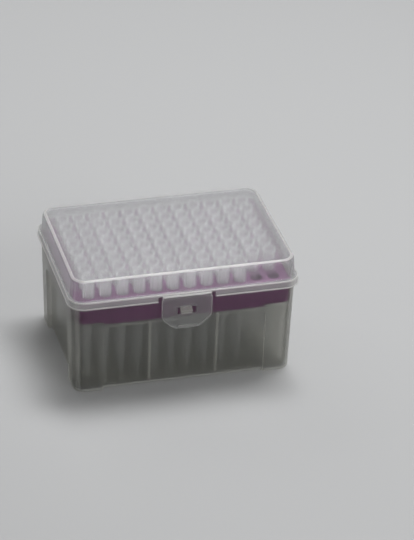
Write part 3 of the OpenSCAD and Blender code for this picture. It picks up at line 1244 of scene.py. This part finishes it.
@dataclass
class LatchFlap:
    """The flap that hangs from the lid's bend and snaps over the catch."""

    lid: Lid
    width: float = 26.6
    end_width: float = 14.0
    thickness: float = 1.5
    drop: float = 19.1
    taper: float = 6.2
    end_r: float = 6.4
    side_r: float = 3.2
    top_r: float = 0.32
    top_normal: float = 0.5
    web_l: float = 1.3
    web_t: float = 0.5
    window_w: float = 10.4
    window_h: float = 4.8
    window_up: float = 7.8
    window_r: float = 0.6
    lip_w: float = 10.0
    lip_out: float = 1.2
    lip_t: float = 1.4
    lip_up: float = 0.7
    lip_under: float = 0.25
    lip_over: float = 0.2
    edge_w: float = 0.45

    @property
    def end_z(self) -> float:
        """The flap's lower edge."""
        return self.lid.bend[1] - self.drop

    @property
    def outer(self) -> float:
        """How far the plate's outer face lies in front of the middle."""
        return self.thickness / 2 + self.lid.bend_r / 6 - self.lid.bend[0]

    def plate(self) -> Piece:
        """The plate, with straight sides that run together to a narrower lower edge, and its window.

        Returns:
            The plate as an object.
        """
        half, end_half = self.width / 2, self.end_width / 2
        side_z, top = self.end_z + self.taper, self.end_z + self.drop - self.web_l
        right = [(end_half, self.end_z, self.end_r), (half, side_z, self.side_r), (half, top, self.top_r)]
        left = [(-x, z, radius) for x, z, radius in reversed(right)]
        inner = self.outer - self.thickness
        # The plate's sides take the edge finish, a painted bright outline, all but the faces that look up.
        plate = Builder().prism(rounded_outline(right + left), inner, self.outer, ALONG_Y, Face.EDGE)
        plate.bm.normal_update()
        for face in plate.bm.faces:
            if face.normal.z > self.top_normal:
                face.material_index = Face.WALL.value
        flap = plate.to_object("latch_flap_plate")
        half, low = self.window_w / 2, self.end_z + self.window_up
        corners = [(x, z, self.window_r) for x, z in rectangle((-half, low), (half, low + self.window_h))]
        window = Builder().prism(rounded_outline(corners, 4), inner - OVER, self.outer + OVER, ALONG_Y)
        carve(flap, window, Cut.REMOVE)
        return flap

    def lip(self) -> Builder:
        """The thumb lip across the plate's lower end.

        Returns:
            The lip, not yet joined on.
        """
        low = self.end_z + self.lip_up
        root, tip = SINK - self.outer, -self.outer - self.lip_out
        profile = [
            (root, low),
            (tip, low + self.lip_under),
            (tip, low + self.lip_t - self.lip_over),
            (root, low + self.lip_t),
        ]
        return Builder().bar(profile, 0, self.lip_w, Face.THICK).tidy()

    def build(self, materials: Sequence[Material]) -> None:
        """Makes the flap and hands it over.

        Args:
            materials: Its finishes, in the order of Face.
        """
        flap = self.plate()
        carve(flap, self.lip(), Cut.JOIN)
        y, z = self.lid.bend
        half, web_half = self.width / 2 - self.top_r, self.web_t / 2
        web = Builder().block((-half, y - web_half, z - self.web_l - SINK), (half, y + web_half, z))
        carve(flap, web, Cut.JOIN)
        # The bend's bead takes the edge finish: painted glow.
        bead = circle((y, z), self.lid.bend_r, ROUND // 2)
        add_island(flap, Builder().bar(bead, 0, 2 * half), Face.EDGE)
        flap.name = "clear_latch_flap"
        hand_over(flap, Body.LATCH, Slot.LID, materials, "latch_flap")
        soften_edges(flap, self.edge_w)


# ---- The rack ----


@dataclass
class InnerRack:
    """The purple rack: a plate with guided holes, a skirt and ribs below."""

    layout: Layout
    plate_t: float = 1.6
    guide_l: float = 5.0
    guide_wall: float = 0.7
    wall: float = 1.3
    edge_round: float = 0.5
    hole_round: float = 0.3
    corner_lift: float = 1.3
    post_w: float = 15.0
    rib_w: float = 0.8
    smooth_angle: float = 35
    segments: int = 32
    steps: int = 10

    @property
    def under_z(self) -> float:
        """Underside of the plate."""
        return self.layout.plate_z - self.plate_t

    @property
    def guide_z(self) -> float:
        """Lower end of the guide tubes."""
        return self.under_z - self.guide_l

    def ring(self, z: float, inset: float) -> Ring:
        """The rack's outline, drawn in by a distance."""
        corner = self.layout.corner - self.layout.wall - self.layout.rack_gap
        return Ring(*self.layout.rack_half, corner, z).inset(inset, z)

    def cell_loop(self, builder: Builder, middle: Plan, radius: float | None, z: float) -> Loop:
        """Adds a loop round a place in the grid.

        Args:
            builder: The mesh.
            middle: The place.
            radius: Radius of a circle, or None for the square border of the place's cell.
            z: Its height.

        Returns:
            The loop, with as many points as a circle has.
        """
        points = []
        for x, y in circle((0, 0), 1, self.segments):
            reach = radius or self.layout.pitch / 2 / max(abs(x), abs(y))
            points.append(Vector((middle[0] + x * reach, middle[1] + y * reach, z)))
        return builder.loop(points)

    def add_holes(self, builder: Builder) -> None:
        """Adds every cell of the grid: its share of the plate, the hole and the guide tube.

        Args:
            builder: The mesh.
        """
        top, under = self.layout.plate_z, self.under_z
        radius = self.layout.hole_r
        tube_r = radius + self.guide_wall
        mouth = [(radius + out, top - drop) for out, drop in quarter_round(self.hole_round, steps=3)]
        tube = [(radius, self.guide_z), (tube_r, self.guide_z), (tube_r, under)]
        section = [(None, top), *mouth, *tube, (None, under)]
        for column in range(1, self.layout.columns + 1):
            for row in range(1, self.layout.rows + 1):
                middle = self.layout.place(column, row)
                builder.chain([self.cell_loop(builder, middle, reach, z) for reach, z in section])

    def fill_margin(self, builder: Builder, z: float) -> None:
        """Fills the plate between the grid and the rack's edge, which are both open at that level.

        Args:
            builder: The mesh.
            z: The level.
        """
        edges = []
        for edge in builder.bm.edges:
            if edge.is_boundary and all(abs(vert.co.z - z) < MEET for vert in edge.verts):
                edges.append(edge)
        bmesh.ops.triangle_fill(builder.bm, edges=edges, use_beauty=True)

    def body(self) -> Piece:
        """The plate with its holes and guide tubes, and the skirt round it.

        Returns:
            The body as an object.
        """
        builder = Builder()
        self.add_holes(builder)
        builder.merge()
        top, ledge_z = self.layout.plate_z, self.layout.ledge_z
        rings = [self.ring(top - drop, inset) for inset, drop in quarter_round(self.edge_round, steps=4)]
        rings += [self.ring(ledge_z, 0), self.ring(ledge_z, self.wall), self.ring(self.under_z, self.wall)]
        builder.chain([builder.loop(ring.points(self.steps)) for ring in rings])
        self.fill_margin(builder, top)
        self.fill_margin(builder, self.under_z)
        return builder.tidy().to_object("purple_rack")

    def corners(self) -> Builder:
        """What the skirt lacks at its corners, where it ends a little higher.

        Returns:
            The tool that cuts it away.
        """
        half_x, half_y = self.layout.rack_half
        low_z, high_z = self.layout.ledge_z - OVER, self.layout.ledge_z + self.corner_lift
        tool = Builder()
        for low_x in (-half_x - OVER, half_x - self.post_w):
            for low_y in (-half_y - OVER, half_y - self.post_w):
                high = (low_x + self.post_w + OVER, low_y + self.post_w + OVER, high_z)
                tool.block((low_x, low_y, low_z), high)
        return tool

    def ribs(self) -> Builder:
        """The ribs below the plate, along every row between the guide tubes and out to the skirt.

        Returns:
            The ribs, not yet joined on.
        """
        shared = self.layout
        reach = shared.pitch / 2 - shared.hole_r - self.guide_wall + SINK
        inside = shared.rack_half[0] - self.wall + SINK
        outer_tube = shared.place(shared.columns, 1)[0] + shared.hole_r + self.guide_wall / 2
        spans = [(-inside, -outer_tube), (outer_tube, inside)]
        for column in range(1, shared.columns):
            middle = shared.place(column, 1)[0] + shared.pitch / 2
            spans.append((middle - reach, middle + reach))
        ribs = Builder()
        for row in range(1, shared.rows + 1):
            low_y = shared.place(1, row)[1] - self.rib_w / 2
            for low_x, high_x in spans:
                ribs.block((low_x, low_y, self.guide_z), (high_x, low_y + self.rib_w, self.under_z))
        return ribs

    def build(self, materials: Sequence[Material]) -> None:
        """Makes the rack and hands it over.

        Args:
            materials: Its finish.
        """
        rack = self.body()
        carve(rack, self.corners(), Cut.REMOVE)
        add_island(rack, self.ribs(), Face.WALL)
        smooth_by_angle(rack, self.smooth_angle)
        hand_over(rack, Body.BASE, Slot.RACK, materials, "rack")


# ---- The tips ----


@dataclass
class Tip:
    """One tip: a hollow tapered tube with a beaded mouth and ribs round its collar."""

    length: float = 60.0
    stand: float = 10.1
    bead_h: float = 1.2
    bead_r: float = 3.7
    bead_edge: float = 0.28
    bead_slope: float = 0.12
    mouth_flare: float = 0.2
    mouth_flare_h: float = 0.35
    # Height of the mouth's painted bright rim.
    rim_glow_h: float = 0.6
    collar_r: float = 3.25
    collar_end_r: float = 2.8
    collar_l: float = 18.5
    collar_wall: float = 0.4
    collar_step: float = 0.6
    body_r: float = 2.4
    body_wall: float = 0.38
    ring_at: float = 31.4
    ring_r: float = 2.08
    ring_out: float = 0.08
    ring_h: float = 0.5
    ring_slope: float = 0.1
    nose_at: float = 49.7
    nose_r: float = 1.2
    nose_step: float = 0.15
    nose_step_h: float = 0.5
    orifice_r: float = 0.5
    orifice_wall: float = 0.25
    rib_count: int = 8
    rib_w: float = 0.5
    rib_r: float = 3.6
    rib_root: float = 0.05
    rib_slope: float = 0.1
    rib_slope_h: float = 0.3
    segments: int = 28

    def profile(self) -> list[Plan]:
        """Half section of the tube.

        Returns:
            The points as (radius, height over the orifice), up the outside and down the inside.
        """
        under_bead = self.length - self.bead_h
        collar_end = self.length - self.collar_l
        ring_z = self.length - self.ring_at
        ring_top = ring_z + self.ring_h
        nose_z = self.length - self.nose_at
        mouth = self.collar_r - self.collar_wall
        outside = [
            (self.orifice_r, 0.0),
            (self.nose_r - self.nose_step, nose_z),
            (self.nose_r, nose_z + self.nose_step_h),
            (self.ring_r, ring_z - self.ring_slope),
            (self.ring_r + self.ring_out, ring_z),
            (self.ring_r + self.ring_out, ring_top),
            (self.ring_r, ring_top + self.ring_slope),
            (self.body_r, collar_end - self.collar_step),
            (self.collar_end_r, collar_end),
            (self.collar_r, under_bead - self.bead_slope),
            (self.bead_r - self.bead_slope, under_bead),
        ]
        edge_at = (self.bead_r - self.bead_edge, self.length - self.bead_edge)
        edge = arc(edge_at, self.bead_edge, 0, 90, steps=4)
        inside = [
            (mouth + self.mouth_flare, self.length),
            (mouth, self.length - self.mouth_flare_h),
            (self.collar_end_r - self.collar_wall, collar_end),
            (self.body_r - self.body_wall, collar_end - 2 * self.collar_step),
            (self.ring_r - self.body_wall, ring_z),
            (self.nose_r - self.body_wall, nose_z),
            (self.orifice_r - self.orifice_wall, 0.0),
        ]
        return outside + edge + inside

    def finishes(self) -> list[Face]:
        """A mouth in the edge finish, painted as a bright rim, and a thick collar over a thin tube.

        Returns:
            The finish after each point of the profile.
        """
        profile = self.profile()
        faces = []
        for here, after in zip(profile, profile[1:] + profile[:1]):
            low = min(here[1], after[1])
            collar = Face.THICK if low > self.length - self.collar_l - self.bead_h else Face.WALL
            faces.append(Face.EDGE if low > self.length - self.rim_glow_h else collar)
        return faces

    def build(self) -> bpy.types.Mesh:
        """Makes the mesh of one tip.

        Returns:
            The mesh in millimetres, with its orifice at the origin.
        """
        builder = Builder()
        builder.revolve(self.profile(), self.segments, self.finishes())
        low = self.length - self.stand
        high = self.length - self.bead_h + PAST
        root = self.collar_end_r + self.rib_root
        foot = [(self.rib_r - self.rib_slope, low), (self.rib_r, low + self.rib_slope_h)]
        outline = [(root, low), *foot, (self.rib_r, high), (root, high)]
        upright = Matrix.Rotation(QUARTER, 4, "X")
        for i in range(self.rib_count):
            turn = Matrix.Rotation(2 * math.pi * i / self.rib_count, 4, "Z")
            builder.prism(outline, -self.rib_w / 2, self.rib_w / 2, turn @ upright)
        return builder.tidy().to_mesh("tip")


@dataclass
class TipSet:
    """All tips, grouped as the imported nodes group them."""

    layout: Layout
    tip: Tip = field(default_factory=Tip)
    empty_places: int = 2
    smooth_angle: float = 38

    def places(self, column: int, half: Half) -> list[Plan]:
        """The places of one half column that hold a tip.

        Args:
            column: The column, counted from 1.
            half: Which half of it.

        Returns:
            The middles of the places.
        """
        middle = self.layout.rows // 2
        rows = range(1, middle + 1) if half is Half.FRONT else range(middle + 1, self.layout.rows + 1)
        filled = [row for row in rows if row > 1 or column <= self.layout.columns - self.empty_places]
        return [self.layout.place(column, row) for row in filled]

    def build(self, materials: Sequence[Material]) -> None:
        """Makes one piece for each half column and hands it over.

        Args:
            materials: The finishes, in the order of Face.
        """
        one = self.tip.build()
        for column in range(1, self.layout.columns + 1):
            for half in Half:
                tips = Builder()
                for x, y in self.places(column, half):
                    tips.copy(one, (x, y, self.layout.tip_end_z))
                group = tips.to_object(f"{half.value}_tips_{column:02d}")
                smooth_by_angle(group, self.smooth_angle)
                hand_over(group, Body.BASE, Slot.TIP, materials, f"tips_{column:02d}_{half.value}")
        bpy.data.meshes.remove(one)


# ---- The studio ----


@dataclass
class Softbox:
    """A lamp that looks at the box, in metres and watts."""

    name: str
    place: tuple[float, float, float]
    width: float
    height: float
    power: float
    aim_z: float = 0.03

    def build(self) -> None:
        """Adds the lamp."""
        data = bpy.data.lights.new(self.name, "AREA")
        data.shape = "RECTANGLE"
        data.size = self.width
        data.size_y = self.height
        data.energy = self.power
        lamp = bpy.data.objects.new(self.name, data)
        lamp.location = self.place
        direction = Vector((0, 0, self.aim_z)) - Vector(self.place)
        lamp.rotation_euler = direction.to_track_quat("-Z", "Y").to_euler()
        bpy.context.scene.collection.objects.link(lamp)


@dataclass
class Studio:
    """Floor, backdrop and lamps, in metres, and the camera, in millimetres."""

    lens: float = 189.7
    azimuth: float = math.radians(-15.75)
    elevation: float = math.radians(30.52)
    roll: float = math.radians(1.91)
    distance: float = 1514.18
    aim_z: float = 35.0
    slide_right: float = 21.96
    slide_up: float = 7.92
    floor_half: float = 3.0
    wall_back: float = 1.4
    sweep_r: float = 0.5
    wall_h: float = 1.6
    floor_colour: Colour = (0.50, 0.505, 0.51)
    floor_bounce: Colour = (0.2, 0.2, 0.2)
    world_strength: float = 0.15

    def camera(self) -> None:
        """Adds the camera."""
        data = bpy.data.cameras.new("camera")
        data.lens = self.lens
        data.sensor_width = 36.0
        data.clip_end = 50.0
        camera = bpy.data.objects.new("camera", data)
        turn = Matrix.Rotation(self.azimuth, 4, "Z") @ Matrix.Rotation(QUARTER - self.elevation, 4, "X")
        turn @= Matrix.Rotation(self.roll, 4, "Z")
        place = turn @ Vector((self.slide_right, self.slide_up, self.distance))
        place.z += self.aim_z
        camera.matrix_world = Matrix.Translation(place * MM) @ turn
        bpy.context.scene.collection.objects.link(camera)
        bpy.context.scene.camera = camera

    def backdrop(self) -> None:
        """Adds the floor, which sweeps up into a backdrop."""
        sweep = arc((self.wall_back, self.sweep_r), self.sweep_r, -90, 0, steps=12)
        profile = [(-self.floor_half, 0.0), *sweep, (self.wall_back + self.sweep_r, self.wall_h)]
        paper = Builder()
        left = paper.loop(Vector((-self.floor_half, y, z)) for y, z in profile)
        right = paper.loop(Vector((self.floor_half, y, z)) for y, z in profile)
        for corners in zip(left, right, right[1:], left[1:]):
            paper.bm.faces.new(corners)
        floor = paper.to_object("floor")
        shade_smooth(floor.data)
        material, graph = new_material("floor_paper")
        skin = {"Base Color": (*self.floor_colour, 1.0), "Roughness": 0.6}
        seen = graph.add("BsdfPrincipled", skin).outputs[0]
        dim = graph.add("BsdfDiffuse", {"Color": (*self.floor_bounce, 1.0)}).outputs[0]
        bounced = graph.add("LightPath").outputs["Is Diffuse Ray"]
        graph.end(graph.mix(bounced, seen, dim))
        floor.data.materials.append(material)

    def lamps(self) -> None:
        """Adds the softboxes and the even light of the room."""
        Softbox("top_softbox", (0.28, 0.30, 1.13), width=0.7, height=0.35, power=11.5).build()
        Softbox("rear_softbox", (-0.45, 1.1, 0.62), width=1.0, height=0.8, power=2.4).build()
        Softbox("front_softbox", (0.6, -1.1, 0.7), width=0.6, height=0.6, power=5.2).build()
        world = bpy.data.worlds.new("room")
        world.use_nodes = True
        background = world.node_tree.nodes["Background"]
        background.inputs["Color"].default_value = (1.0, 1.0, 1.0, 1.0)
        background.inputs["Strength"].default_value = self.world_strength
        bpy.context.scene.world = world

    def build(self) -> None:
        """Sets up the whole studio."""
        scene = bpy.context.scene
        scene.view_settings.view_transform = "Standard"
        scene.cycles.transparent_max_bounces = 64
        self.camera()
        self.backdrop()
        self.lamps()


def main() -> None:
    """Builds the studio and every piece."""
    logging.basicConfig(level=logging.INFO, format="%(name)s: %(message)s")
    Studio().build()
    marks = flow_group()
    layout = Layout.from_frame()
    lid = Lid(layout)
    lid_edge_glow = LID_EDGE_GLOW.build(marks)
    ClearBox(layout).build([BOX_PLASTIC.build(marks), BOX_EDGE_GLOW.build(marks), BOX_RIB.build(marks)])
    InnerRack(layout).build([RACK_PLASTIC.build(marks)])
    TipSet(layout).build([TIP_PLASTIC.build(marks), TIP_MOUTH_GLOW.build(marks), TIP_COLLAR.build(marks)])
    lid_skirt = LID_SKIRT.build(marks)
    lid.build([LID_PLASTIC.build(marks), lid_edge_glow, lid_skirt, LID_TOP.build(marks)])
    LatchFlap(lid).build([FLAP_PLASTIC.build(marks), lid_edge_glow, lid_skirt])


if __name__ == "__main__":
    main()
